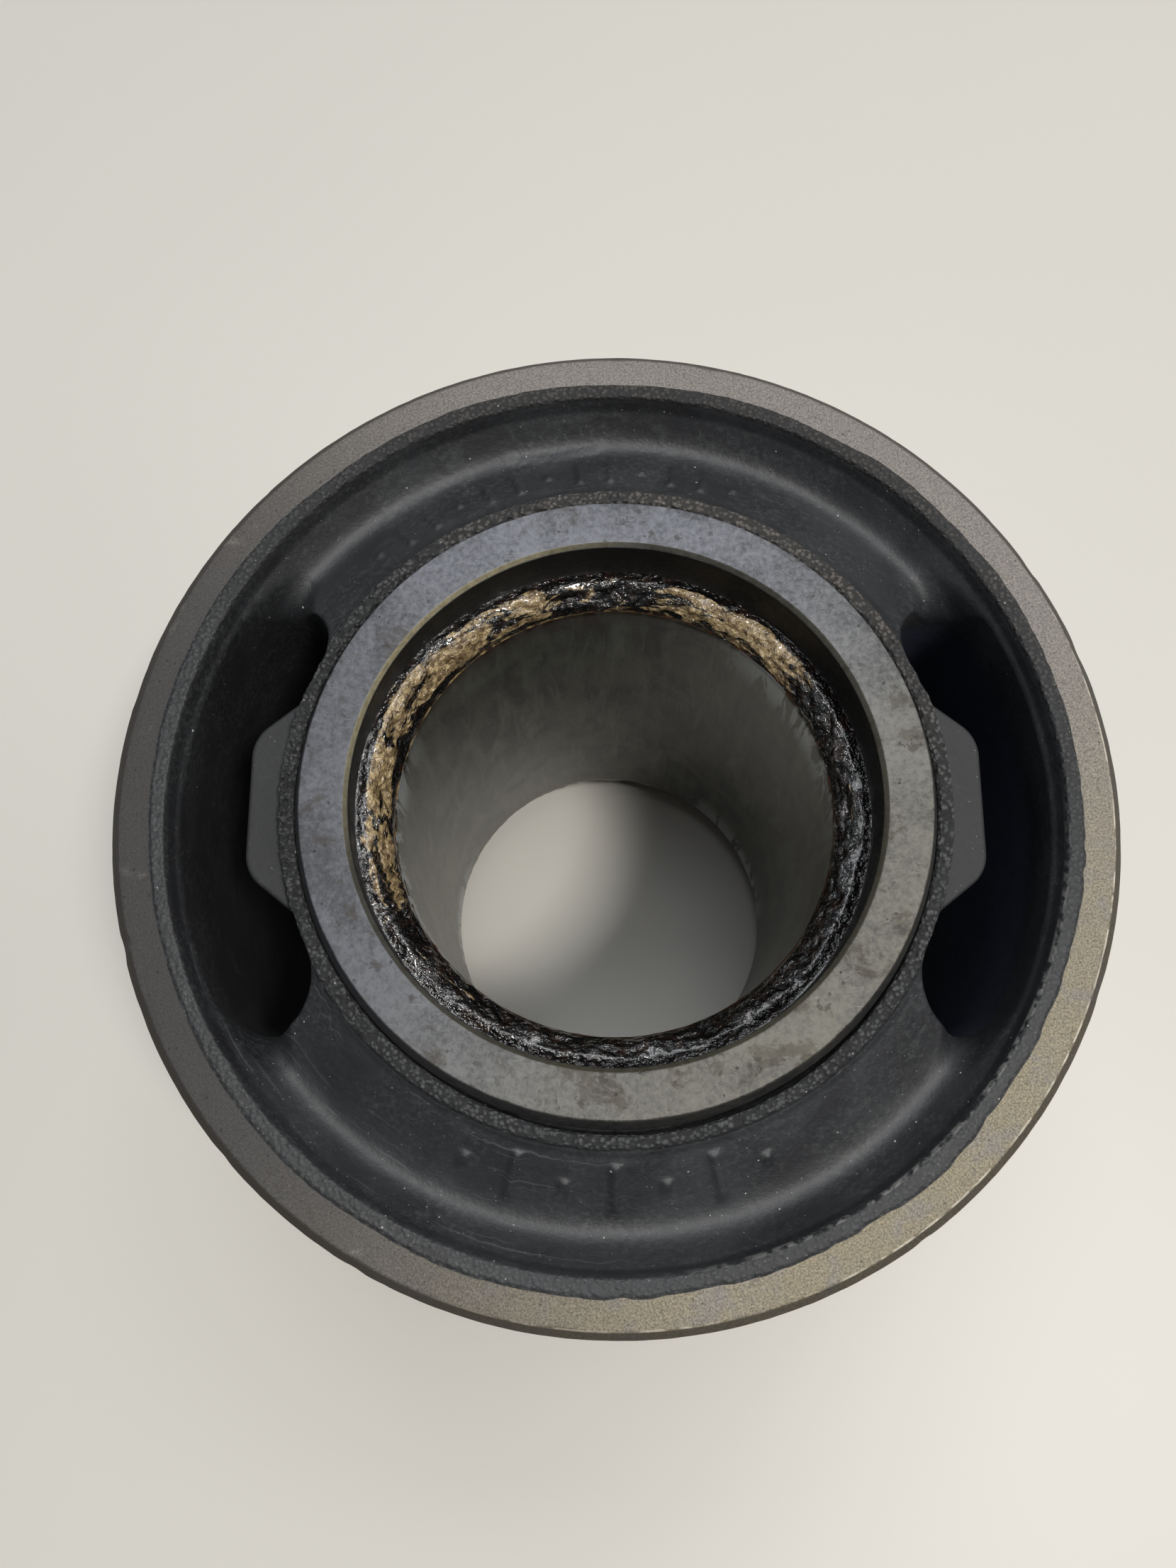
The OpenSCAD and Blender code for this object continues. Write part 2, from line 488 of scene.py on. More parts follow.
def sample_spacing(angle, radius):
    """Wanted distance between samples: close at edges and rough bands."""
    at_edge = 1 - smooth(void_distance(angle, radius), 0.3, 1.2)
    at_collar = 1 - smooth(radius, 33.4, 34.2)
    at_lip = smooth(radius, 42.9, 43.8)
    close = np.maximum(at_edge, np.maximum(at_collar, at_lip))
    return SAMPLE_GAP - (SAMPLE_GAP - EDGE_GAP) * close


def on_columns(columns, far_radius, share):
    """Angle and radius at a share of the way from the far end to each column's end."""
    angle = columns[:, 2:3] + (columns[:, 0:1] - columns[:, 2:3]) * share
    radius = far_radius[:, None] + (columns[:, 1:2] - far_radius[:, None]) * share
    return angle, radius


def end_face(columns, far_radius, count, flash_edge, seed, marks):
    """Angle, radius and height from the rim or sleeve to each column's end."""
    edge = None if flash_edge is None else flash_edge[:, None]
    trial = np.linspace(0, 1, TRIAL_SAMPLES)[None, :]
    angle, radius = on_columns(columns, far_radius, trial)
    height = rubber_top(angle, radius, edge, seed, marks)
    spacing = sample_spacing(angle, radius)
    share = spread_samples(angle, radius, height, spacing, count)
    angle, radius = on_columns(columns, far_radius, share)
    return angle, radius, rubber_top(angle, radius, edge, seed, marks)


def between(start, end, shares):
    """Columns that go from start to end in the given shares."""
    shares = np.array(shares)[None, :]
    return start[:, None] * (1 - shares) + end[:, None] * shares


def rubber_section(columns, far_radius, flash_edge, seat):
    """Closed sections: seat, upper face, wall, lower face and back to the seat.

    The last value gives the samples of the wall's upper and lower edge.
    """
    marks = UPPER_MARKS + LOWER_MARKS
    upper = end_face(columns, far_radius, TOP_SAMPLES, flash_edge, TOP_SEED, marks)
    lower = end_face(columns, far_radius, BOTTOM_SAMPLES, flash_edge, BOTTOM_SEED, LOWER_MARKS)
    top_z, low_z = RIM_Z + upper[2], -RIM_Z - lower[2][:, ::-1]
    wall_z = between(top_z[:, -1], low_z[:, 0], WALL_SHARES)
    seat_angle, seat_radius, seat_z = seat
    angle = [upper[0], columns[:, 0:1] + 0 * wall_z, lower[0][:, ::-1]]
    radius = [upper[1], columns[:, 1:2] + 0 * wall_z, lower[1][:, ::-1]]
    angle = np.concatenate([seat_angle, *angle, seat_angle[:, ::-1]], axis=1)
    radius = np.concatenate([seat_radius, *radius, seat_radius[:, ::-1]], axis=1)
    height = np.concatenate([seat_z, top_z, wall_z, low_z, -seat_z[:, ::-1]], axis=1)
    upper_edge = seat_z.shape[1] + TOP_SAMPLES - 1
    edges = (upper_edge, upper_edge + len(WALL_SHARES) + 1)
    return angle, radius, height, edges


def rubber_piece(name, section, skin, material):
    """A mesh that replaces one of the skins and its share of both legs."""
    angle, radius, height, edges = section
    points = in_space(angle, radius, height)
    across = section_length(radius, height)
    looks = ("rubber", material)
    nodes = (skin, "rubber_leg_front", "rubber_leg_rear")
    return make_mesh(name, points, angle, across, None, looks, nodes, edges)


def outer_rubber(material):
    """Skin on the outer sleeve and the outer part of both legs."""
    columns = outer_columns()
    rim_angle = columns[:, 2]
    wander = 0.22 * round_noise(11, rim_angle, 7.0)
    torn = 0.13 * round_noise(12, rim_angle, 1.0)
    bitten = np.minimum(round_noise(13, rim_angle, 1.6) + 0.45, 0)
    ragged = 0.3 + 0.7 * near_angle(rim_angle, -35, 110)
    flash_edge = FLASH_R + wander + ragged * (torn + 0.5 * bitten)
    seat_radius = np.stack([0 * rim_angle + TUBE_R, flash_edge], axis=-1)
    seat_z = np.array([RIM_Z - BOND_DROP, RIM_Z - FLASH_SINK]) + 0 * seat_radius
    seat = (rim_angle[:, None] + 0 * seat_z, seat_radius, seat_z)
    section = rubber_section(columns, flash_edge, flash_edge, seat)
    piece = rubber_piece("rubber_outer", section, "rubber_outer_skin", material)
    follow(piece)


def inner_rubber(material):
    """Collar, stop lobes and the inner part of both legs."""
    columns = inner_columns()
    ring_angle = columns[:, 2]
    gap = SLEEVE_R + GROOVE_GAP + GROOVE_OPENING * near_angle(ring_angle, 285, 60)
    gap += 0.05 * round_noise(21, ring_angle, 1.2)
    seat_radius = np.stack([0 * gap + SLEEVE_R, gap, gap + 0.02, gap + 0.12], axis=-1)
    rise = np.array([-GROOVE_DEPTH, -GROOVE_DEPTH + 0.2, 0.45, 0.8])
    seat_z = RIM_Z + rise[None, :] + 0 * seat_radius
    seat = (ring_angle[:, None] + 0 * seat_z, seat_radius, seat_z)
    section = rubber_section(columns, gap + 0.3, None, seat)
    piece = rubber_piece("rubber_inner", section, "rubber_inner_skin", material)
    angle, radius = section[:2]
    share = (SEAM_R - radius) / (SEAM_R - VOID_IN_R)
    share = np.where(from_x_axis(angle) < VOID_ARC, 1.0, share)
    follow(piece)


def follow(piece):
    """Bakes the rubber's placement into its mesh."""
    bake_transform(piece)


# ------------ turned pieces


def rounded_path(corners, step):
    """A closed section with its corners rounded and its long sides divided."""
    corners = np.array(corners, float)
    path = []
    for i, corner in enumerate(corners):
        before = corners[i - 1] - corner
        after = corners[(i + 1) % len(corners)] - corner
        before, after = (v / np.hypot(*v) for v in (before, after))
        for t in np.linspace(0, 1, CORNER_POINTS):
            path.append(corner + CORNER_R * (before * (1 - t) ** 2 + after * t**2))
    path = np.array(path)
    filled = []
    for here, there in zip(path, np.roll(path, -1, axis=0)):
        parts = max(1, math.ceil(np.hypot(*(there - here)) / step))
        filled += [here + (there - here) * k / parts for k in range(parts)]
    return np.array(filled)


def mirrored(upper):
    """A section that is the same at both ends, from the half above the middle."""
    return upper + [(r, -z) for r, z in reversed(upper)]


def turned(node, upper, step, columns, relief, body, looks):
    """A turned steel or bronze ring, with a little wear, that replaces a CAD node."""
    path = rounded_path(mirrored(upper), step)
    angle = np.linspace(0, TURN, columns, endpoint=False)[:, None] + 0 * path[None, :, 0]
    radius = path[None, :, 0] + 0 * angle
    height = path[None, :, 1] + 0 * angle
    radial, axial = relief(angle, radius, height)
    points = in_space(angle, radius + radial, height + axial)
    across = section_length(radius, height)
    return make_mesh(node + "_turned", points, angle, across, body, looks, (node,))


def rim_wear(angle, radius, height):
    """Dings on the outer corner of the rim, and a surface that isn't quite flat."""
    at_wall = smooth(radius, OUTER_R - 1.3, OUTER_R - 0.8)
    corner = at_wall * smooth(np.abs(height), RIM_Z - 1.4, RIM_Z - RIM_CHAMFER)
    dings = np.maximum(ring_noise(31, angle, height, 2.6) - 0.45, 0)
    chatter = ring_noise(32, angle, height, 0.7)
    radial = -corner * (0.35 * dings + 0.025 * (chatter + 1))
    on_end = smooth(np.abs(height), RIM_Z - 0.2, RIM_Z - 0.05)
    dip = 0.03 * (ring_noise(33, angle, radius, 1.2) - 1) * on_end
    return radial, dip * np.sign(height)


def sleeve_wear(angle, radius, height):
    """Small nicks on the sleeve's edges."""
    end = smooth(np.abs(height), FACE_Z - 0.5, FACE_Z - 0.1)
    inner = end * (1 - smooth(radius, SEAT_R + 0.2, SEAT_R + 0.9))
    outer = end * smooth(radius, FACE_R - 0.4, FACE_R)
    chips = np.maximum(ring_noise(41, angle, radius, 1.5) - 0.5, 0)
    ripple = ring_noise(42, angle, radius, 0.6)
    radial = inner * (0.1 * chips + 0.012 * (ripple + 1)) - outer * 0.1 * chips
    return radial, 0 * height


def liner_wear(angle, radius, height):
    """A slightly wavy lip on the bearing liner, marked by wear."""
    lip = smooth(np.abs(height), SEAT_Z - 0.5, SEAT_Z - 0.1)
    bore = 1 - smooth(radius, BORE_R + 0.2, BORE_R + 0.6)
    radial = lip * bore * 0.06 * (ring_noise(51, angle, radius, 1.4) + 1)
    return radial, 0 * height


def outer_sleeve(material):
    """The steel tube pressed into the arm."""
    upper = [
        (TUBE_R, RIM_Z),
        (OUTER_R - RIM_CHAMFER, RIM_Z),
        (OUTER_R, RIM_Z - RIM_CHAMFER),
    ]
    looks = ("outer_steel", material)
    return turned("outer_sleeve", upper, 0.9, 540, rim_wear, "outer", looks)


def inner_sleeve(material):
    """The thick steel sleeve, with its seal seats and tapered ends."""
    upper = [
        (LINER_R, SEAT_Z),
        (SEAT_R, SEAT_Z),
        (SEAT_R, FACE_Z - SEAT_CHAMFER),
        (SEAT_R + SEAT_CHAMFER, FACE_Z),
        (FACE_R, FACE_Z),
        (SLEEVE_R, FACE_Z - TAPER_LENGTH),
    ]
    looks = ("inner_steel", material)
    return turned("inner_sleeve", upper, 0.8, 480, sleeve_wear, "inner", looks)


def bearing_liner(material):
    """The plain bearing pressed in the sleeve."""
    upper = [
        (BORE_R, SEAT_Z - LINER_CHAMFER),
        (BORE_R + LINER_CHAMFER, SEAT_Z),
        (LINER_R, SEAT_Z),
    ]
    looks = ("bearing_bronze", material)
    return turned("bearing_liner", upper, 0.8, 420, liner_wear, "inner", looks)


# ------------ old grease


GREASE_COLUMNS = 900
GREASE_SAMPLES = 26
GREASE_ROUND = 0.75  # 0 for a straight slope, 1 for a quarter round
GREASE_DIP = 0.7  # sunk this much at the seat's wall
GREASE_LUMPS = [
    (2, 0.34, 3.2, 1.6),
    (3, 0.20, 1.3, 1.5),
    (4, 0.09, 0.6, 1.0),
]  # step from the bead's seed, height, size and stretch round the ring
GREASE_SINK = 0.05  # depth of its underside in the liner's lip


def bead_face(lip_r, fullness, share):
    """Smooth face of the bead, from the seal seat's wall in to the liner's lip."""
    wall_z = SEAT_Z + (FACE_Z - SEAT_CHAMFER - SEAT_Z) * fullness
    inward = GREASE_ROUND * np.sin(math.pi / 2 * share) + (1 - GREASE_ROUND) * share
    fall = 1 - np.cos(math.pi / 2 * share)
    down = GREASE_ROUND * fall + (1 - GREASE_ROUND) * share
    radius = SEAT_R + (lip_r - SEAT_R) * inward
    height = wall_z + (SEAT_Z - wall_z) * down
    return radius, height - GREASE_DIP * (1 - smooth(share, 0, 0.3))


def bead_swell(angle, share, seed):
    """How far lumps and ridges lift the bead's face, away from its two edges."""
    lumps = sum(
        lift * ring_noise(seed + step, angle, 8 * share, cell, stretch)
        for step, lift, cell, stretch in GREASE_LUMPS
    )
    ridges = near_angle(angle, 200, 13) * 0.3 * np.sin(angle * 150 + 3 * share)
    return np.sin(math.pi * share) ** 0.8 * (lumps + ridges)


def grease_bead(name, end, seed, material):
    """Old grease packed in the corner between a seal seat and the liner's lip."""
    angle = np.linspace(0, TURN, GREASE_COLUMNS, endpoint=False)[:, None]
    share = np.linspace(0, 1, GREASE_SAMPLES)[None, :]
    fullness = 0.36 + 0.26 * near_angle(angle, 175, 85) + 0.06 * round_noise(seed, angle, 14)
    lip_r = BORE_R + 0.12 + 0.07 * round_noise(seed + 1, angle, 2.0)
    radius, height = bead_face(lip_r, fullness, share)
    lift = bead_swell(angle, share, seed) * math.sqrt(0.5)
    radius = np.maximum(np.minimum(radius - lift, SEAT_R), lip_r)
    height = np.maximum(height + lift, SEAT_Z + 0.03)
    under_r = np.array([lip_r.mean() + 0.3, SEAT_R + 0.04])[None, :] + 0 * angle
    under_z = SEAT_Z - GREASE_SINK + 0 * under_r
    radius = np.concatenate([radius, under_r], axis=1)
    height = np.concatenate([height, under_z], axis=1)
    full_angle = angle + 0 * radius
    points = in_space(full_angle, radius, end * height)
    across = section_length(radius, height)
    return make_mesh(name, points, full_angle, across, "inner", ("rubber", material), ())


# ------------ material helpers


def tint(red, green, blue):
    """A linear colour from display values from 0 to 255."""

    def linear(v):
        v /= 255
        return v / 12.92 if v <= 0.04045 else ((v + 0.055) / 1.055) ** 2.4

    return (linear(red), linear(green), linear(blue), 1.0)


class Shader:
    """A node material written as short calls. Each call gives an output socket."""

    def __init__(self, name):
        self.material = bpy.data.materials.new(name)
        self.material.use_nodes = True
        self.nodes = self.material.node_tree.nodes
        self.links = self.material.node_tree.links
        self.surface = self.nodes["Principled BSDF"]
        self.place = self.vector("rest_mm")
        self.ring = self.vector("ring")

    def feed(self, socket, value):
        """Links a socket to an output, or sets its own value."""
        if isinstance(value, bpy.types.NodeSocket):
            self.links.new(value, socket)
        else:
            socket.default_value = value

    def add(self, kind, inputs, **settings):
        """A new node with these settings and inputs."""
        node = self.nodes.new("ShaderNode" + kind)
        for name, value in settings.items():
            setattr(node, name, value)
        for socket, value in inputs.items():
            self.feed(node.inputs[socket], value)
        return node

    def vector(self, name):
        """A vector stored on the mesh."""
        return self.add("Attribute", {}, attribute_name=name).outputs["Vector"]

    def math(self, operation, *values):
        """Arithmetic on numbers."""
        return self.add("Math", dict(enumerate(values)), operation=operation).outputs[0]

    def both(self, first, second):
        """The product of two numbers."""
        return self.math("MULTIPLY", first, second)

    def either(self, first, second):
        """The greater of two numbers."""
        return self.math("MAXIMUM", first, second)

    def stretched(self, vector, *factors):
        """A vector with its three parts scaled."""
        node = self.add("VectorMath", {0: vector, 1: factors}, operation="MULTIPLY")
        return node.outputs[0]

    def part(self, vector, index):
        """One part of a vector."""
        return self.add("SeparateXYZ", {0: vector}).outputs[index]

    def radius(self):
        """Distance from the bore's axis, in millimetres."""
        flat = self.stretched(self.place, 1, 1, 0)
        return self.add("VectorMath", {0: flat}, operation="LENGTH").outputs["Value"]

    def height(self):
        """Distance from the middle plane, in millimetres."""
        return self.math("ABSOLUTE", self.part(self.place, 2))

    def mask(self, value, low, high):
        """0 below low, 1 above high; swap them for the other way round."""
        inputs = {
            "Value": value,
            "From Min": min(low, high),
            "From Max": max(low, high),
            "To Min": float(low > high),
            "To Max": float(low <= high),
        }
        node = self.add("MapRange", inputs, interpolation_type="SMOOTHSTEP")
        return node.outputs["Result"]

    def band(self, value, start, end):
        """1 between two fades, each given as (from 0, to 1)."""
        return self.both(self.mask(value, *start), self.mask(value, *end))

    def scale_to(self, value, low, high):
        """A 0 to 1 value taken to a range."""
        inputs = {"Value": value, "To Min": low, "To Max": high}
        return self.add("MapRange", inputs).outputs["Result"]

    def facing(self, degrees, spread):
        """1 at an angle round the ring, 0 beyond spread degrees from it."""
        a = math.radians(degrees)
        inputs = {0: self.ring, 1: (math.cos(a), math.sin(a), 0)}
        node = self.add("VectorMath", inputs, operation="DOT_PRODUCT")
        return self.mask(node.outputs["Value"], math.cos(math.radians(spread)), 1.0)

    def noise(self, scale, detail, vector=None, roughness=0.55, distortion=0.0):
        """Cloudy noise from 0 to 1, scale waves to a millimetre."""
        inputs = {
            "Vector": self.place if vector is None else vector,
            "Scale": scale,
            "Detail": detail,
            "Roughness": roughness,
            "Distortion": distortion,
        }
        return self.add("TexNoise", inputs).outputs[0]

    def cells(self, scale):
        """Rounded cells, scale of them to a millimetre."""
        return self.add("TexVoronoi", {"Vector": self.place, "Scale": scale}).outputs

    def specks(self, scale, size, share):
        """Small round specks, on a share of the cells."""
        cells = self.cells(scale)
        spot = self.mask(cells["Distance"], size, size * 0.4)
        chosen = self.mask(self.part(cells["Color"], 0), 1 - share, 1.001 - share)
        return self.both(spot, chosen)

    def pebbles(self, scale):
        """Rounded grains, 1 on top and 0 between them."""
        return self.mask(self.cells(scale)["Distance"], 0.75, 0.05)

    def mix(self, share, first, second):
        """A colour between two."""
        node = self.add("Mix", {0: share, 6: first, 7: second}, data_type="RGBA")
        return node.outputs[2]

    def layer(self, colour, share, amount, over):
        """A colour with another laid over it, as strongly as share times amount."""
        return self.mix(self.both(share, amount), colour, over)

    def blend(self, share, first, second):
        """A number between two."""
        return self.add("Mix", {0: share, 2: first, 3: second}).outputs[0]

    def bump(self, height, depth, normal=None):
        """Relief of a depth in millimetres, on top of another relief."""
        inputs = {"Distance": depth * MM, "Height": height}
        if normal is not None:
            inputs["Normal"] = normal
        return self.add("Bump", inputs).outputs[0]

    def finish(self, colour, roughness, normal, metallic=0.0, **fixed):
        """Sets the surface; fixed values go on the shader's own sockets."""
        self.feed(self.surface.inputs["Base Color"], colour)
        self.feed(self.surface.inputs["Roughness"], roughness)
        self.feed(self.surface.inputs["Normal"], normal)
        self.feed(self.surface.inputs["Metallic"], metallic)
        for name, value in fixed.items():
            self.surface.inputs[name.replace("_", " ")].default_value = value
        return self.material


# ------------ materials


def rubber_skin(s, cloud, film_and_painted_light):
    """Nearly black rubber with a thin grey coat, powder and scuffs, painted shade on the left
    side and painted bluish light deep in the right void.
    """
    colour = s.mix(s.mask(cloud, 0.35, 0.7), tint(21, 22, 26), tint(37, 39, 42))
    colour = s.layer(colour, film_and_painted_light, 0.5, tint(60, 62, 64))
    # Painted shade: the left side of the rubber is darkened.
    colour = s.layer(colour, s.facing(180, 75), 0.6, tint(15, 16, 19))
    powder = s.mask(s.noise(1.6, 6, roughness=0.75), 0.45, 0.68)
    powder = s.both(powder, s.mask(s.noise(0.13, 4), 0.35, 0.6))
    colour = s.layer(colour, powder, 0.45, tint(72, 74, 74))
    scuffs = s.mask(s.noise(1.0, 5, s.stretched(s.ring, 2.2, 2.2, 2.6)), 0.62, 0.68)
    scuffs = s.both(scuffs, s.facing(245, 60))
    colour = s.layer(colour, scuffs, 0.35, tint(92, 94, 96))
    # Painted bluish light on the deep walls of the right void.
    void_fill_light = s.both(s.mask(s.height(), 34, 28), s.facing(0, 75))
    return s.layer(colour, void_fill_light, 0.6, tint(48, 56, 80))


def rubber_lobe(s):
    """Where the darker stop lobes are."""
    across = s.band(s.radius(), (33.3, 33.7), (LOBE_REACH + 0.6, LOBE_REACH + 0.2))
    near_x_axis = s.mask(s.math("ABSOLUTE", s.part(s.ring, 0)), 0.9, 0.93)
    return s.both(across, near_x_axis)


def rubber_flash(s):
    """Where the flash on the rim is torn, most of all on its rear side."""
    on_rim = s.both(
        s.mask(s.radius(), LIP_R - 0.2, LIP_R + 0.2),
        s.mask(s.height(), RIM_Z - 0.4, RIM_Z - 0.1),
    )
    return s.both(on_rim, s.scale_to(s.facing(75, 105), 0.3, 1.0))


def torn_rubber(s, grain, flash):
    """Grey and brown grain of torn rubber."""
    coarse = s.mask(grain, 0.3, 0.65)
    grey = s.mix(coarse, tint(14, 15, 16), tint(84, 85, 86))
    brown = s.mix(coarse, tint(40, 38, 36), tint(106, 100, 95))
    grey = s.mix(s.facing(68, 75), grey, brown)
    return s.layer(grey, flash, 0.55, tint(16, 17, 19))


def lip_highlight(s):
    """Where a painted highlight lies along the lip beside the flash, on the lower right, broken
    up by noise.
    """
    lip = s.band(s.radius(), (LIP_R - 0.25, LIP_R - 0.1), (LIP_R + 0.25, LIP_R + 0.05))
    return s.both(lip, s.both(s.facing(-42, 48), s.mask(s.noise(0.9, 5), 0.42, 0.6)))


def rubber_dust(s):
    """Specks of three sizes on everything but the deep walls."""
    dust = s.either(s.specks(0.9, 0.1, 0.16), s.specks(0.33, 0.055, 0.3))
    dust = s.either(dust, s.both(s.specks(2.1, 0.16, 0.12), 0.5))
    return s.both(dust, s.mask(s.height(), 30, 34))


def rubber_material():
    """Aged natural rubber: nearly black, a soft sheen, dust, and grey torn bands."""
    s = Shader("aged_rubber")
    cloud = s.noise(0.09, 5, distortion=0.6)
    streak = s.noise(1.0, 4, s.stretched(s.ring, 5, 5, 0.8))
    film_and_painted_light = s.both(s.mask(s.noise(0.25, 6), 0.5, 0.75), s.mask(streak, 0.4, 0.7))
    collar = s.both(s.mask(s.radius(), 33.5, VOID_IN_R), s.mask(s.height(), RIM_Z, RIM_Z + 0.6))
    flash = rubber_flash(s)
    torn = s.either(collar, flash)
    grain = s.blend(0.45, s.noise(2.4, 5, roughness=0.7), s.pebbles(1.9))
    lobe = rubber_lobe(s)
    dust = rubber_dust(s)
    colour = s.layer(rubber_skin(s, cloud, film_and_painted_light), lobe, 0.7, tint(14, 15, 18))
    patchy = s.blend(s.mask(s.noise(0.35, 4), 0.35, 0.6), 0.35, 0.9)
    colour = s.mix(s.both(torn, patchy), colour, torn_rubber(s, grain, flash))
    # Painted highlight along the lip beside the flash.
    colour = s.mix(lip_highlight(s), colour, tint(128, 128, 124))
    colour = s.mix(dust, colour, tint(168, 168, 165))
    rough = s.blend(film_and_painted_light, s.scale_to(cloud, 0.52, 0.62), 0.66)
    rough = s.blend(s.either(s.either(torn, lobe), dust), rough, 0.74)
    fine = s.bump(s.noise(3.2, 6, roughness=0.65), 0.05)
    waves = s.bump(s.noise(0.5, 3), 0.12, fine)
    normal = s.bump(s.both(grain, torn), 0.6, waves)
    return s.finish(colour, rough, normal, Specular_IOR_Level=0.75)


def rim_colour(s, grain):
    """Pinkish phosphate on the rim, turning golden tan in patches on the lower right as painted
    warm light, and darkened on the left side as painted shade.
    """
    patch = s.noise(0.3, 3, distortion=0.5)
    coarse = s.mask(grain, 0.3, 0.7)
    pink = s.mix(coarse, tint(78, 74, 71), tint(146, 140, 134))
    gold = s.mix(coarse, tint(78, 73, 62), tint(158, 148, 124))
    # Painted warm light: golden tan patches on the lower right of the rim.
    golden = s.both(s.facing(-55, 80), s.mask(patch, 0.2, 0.52))
    colour = s.mix(golden, pink, gold)
    # Painted shade: the left side of the rim is darkened in broad patches.
    film_and_painted_light = s.both(s.facing(190, 95), s.mask(patch, 0.1, 0.4))
    return s.layer(colour, film_and_painted_light, 0.85, tint(30, 30, 31))


def wall_colour(s):
    """The outside of the tube: scored along its axis, with rust and oil stains."""
    drawn = s.noise(1.0, 6, s.stretched(s.place, 1.8, 1.8, 0.12), roughness=0.75)
    wall = s.mix(s.mask(drawn, 0.3, 0.7), tint(102, 99, 94), tint(146, 143, 136))
    scored = s.mask(s.noise(1.0, 3, s.stretched(s.place, 2.4, 2.4, 0.02)), 0.64, 0.68)
    wall = s.layer(wall, scored, 0.35, tint(204, 202, 196))
    fretted = s.mask(s.noise(0.09, 6, roughness=0.68, distortion=0.6), 0.5, 0.62)
    wall = s.layer(wall, fretted, 0.4, tint(104, 76, 54))
    oily = s.mask(s.noise(0.05, 5, s.stretched(s.place, 1, 1, 1.6), distortion=1.0), 0.5, 0.6)
    return s.layer(wall, oily, 0.35, tint(70, 66, 61))


def rim_edges(s, colour, radius, height):
    """Painted shade on the chamfer round the rim, and a painted highlight on its corner on the
    lower-right side.
    """
    chamfer_r, chamfer_z = OUTER_R - RIM_CHAMFER, RIM_Z - RIM_CHAMFER
    on_rim = s.mask(height, chamfer_z - 0.05, chamfer_z + 0.05)
    chamfer = s.both(s.mask(radius, chamfer_r + 0.06, chamfer_r + 0.16), on_rim)
    # Painted shade: the chamfer is darkened all round.
    colour = s.layer(colour, chamfer, 0.75, tint(50, 44, 37))
    inner_fade = (chamfer_r - 0.12, chamfer_r - 0.02)
    outer_fade = (chamfer_r + 0.16, chamfer_r + 0.06)
    corner = s.band(radius, inner_fade, outer_fade)
    # Painted highlight: the chamfer's corner is lightened in patches on the lower right.
    wear_and_highlight = s.both(s.facing(-35, 85), s.mask(s.noise(0.6, 3), 0.4, 0.6))
    bright = s.both(s.both(corner, wear_and_highlight), on_rim)
    return s.layer(colour, bright, 0.8, tint(214, 206, 190))


def outer_steel_material():
    """Phosphated steel, pinkish on the rim with painted warm light, painted shade and a painted
    highlight on it, and grey outside.
    """
    s = Shader("outer_steel_worn")
    radius, height = s.radius(), s.height()
    grain = s.noise(5.0, 6, roughness=0.75)
    outside = s.mask(height, RIM_Z - 0.85, RIM_Z - 1.1)
    colour = s.mix(outside, rim_colour(s, grain), wall_colour(s))
    colour = rim_edges(s, colour, radius, height)
    stains = s.mask(s.noise(0.6, 5, roughness=0.65), 0.6, 0.72)
    colour = s.layer(colour, stains, 0.4, tint(52, 44, 34))
    rough = s.scale_to(grain, 0.5, 0.72)
    fine = s.bump(s.noise(3.6, 5, roughness=0.7), 0.06)
    pits = s.bump(s.specks(1.3, 0.16, 0.35), -0.08, fine)
    return s.finish(colour, rough, pits, metallic=0.25)


def face_colour(s, mottle, blot):
    """Mottled steel, painted with a cool blue-grey reflection on the upper left and a warm
    yellow-grey one on the lower right, painted shade on the left side, and stains and scratches.
    """
    blue = s.mix(mottle, tint(52, 54, 58), tint(113, 115, 122))
    yellow = s.mix(mottle, tint(48, 47, 44), tint(105, 103, 94))
    # Painted reflections: cool blue-grey towards the upper left, warm yellow-grey towards the
    # lower right.
    colour = s.mix(s.facing(-45, 120), blue, yellow)
    # Painted shade: the left side of the face is darkened.
    colour = s.layer(colour, s.facing(190, 70), 0.35, tint(52, 53, 56))
    colour = s.layer(colour, blot, 0.5, tint(66, 58, 48))
    spots = s.mask(s.noise(0.5, 5, roughness=0.7), 0.59, 0.65)
    colour = s.layer(colour, spots, 0.7, tint(48, 42, 38))
    scratch = s.mask(s.noise(1.0, 3, s.stretched(s.place, 0.25, 6.0, 1.0)), 0.7, 0.76)
    return s.layer(colour, scratch, 0.35, tint(196, 196, 200))


def sleeve_edges(s, colour, radius, height):
    """Painted shade on the tapers and seal seats, and the yellowish chamfer of each seat with a
    painted highlight on its upper-left side.
    """
    # Painted shade on the taper at each end.
    on_taper = s.mask(height, FACE_Z - 0.02, FACE_Z - 0.2)
    taper = s.both(s.mask(radius, FACE_R, FACE_R + 0.15), on_taper)
    colour = s.layer(colour, taper, 0.8, tint(40, 40, 42))
    # Painted shade on the wall of each seal seat.
    in_seat = s.mask(height, FACE_Z - 0.25, FACE_Z - 0.6)
    seat = s.both(s.mask(radius, SEAT_R + 0.14, SEAT_R + 0.04), in_seat)
    colour = s.mix(seat, colour, tint(24, 23, 20))
    # Painted highlight: each seat's yellowish chamfer is lighter on its upper-left side and
    # darker elsewhere.
    chamfer_r = SEAT_R + SEAT_CHAMFER
    chamfer = s.band(radius, (chamfer_r + 0.05, chamfer_r - 0.03), (SEAT_R + 0.02, SEAT_R + 0.1))
    bright = s.mix(s.noise(2.0, 4), tint(70, 66, 48), tint(170, 158, 120))
    bevel = s.mix(s.facing(140, 60), tint(58, 55, 42), bright)
    return s.layer(colour, chamfer, 0.8, bevel)


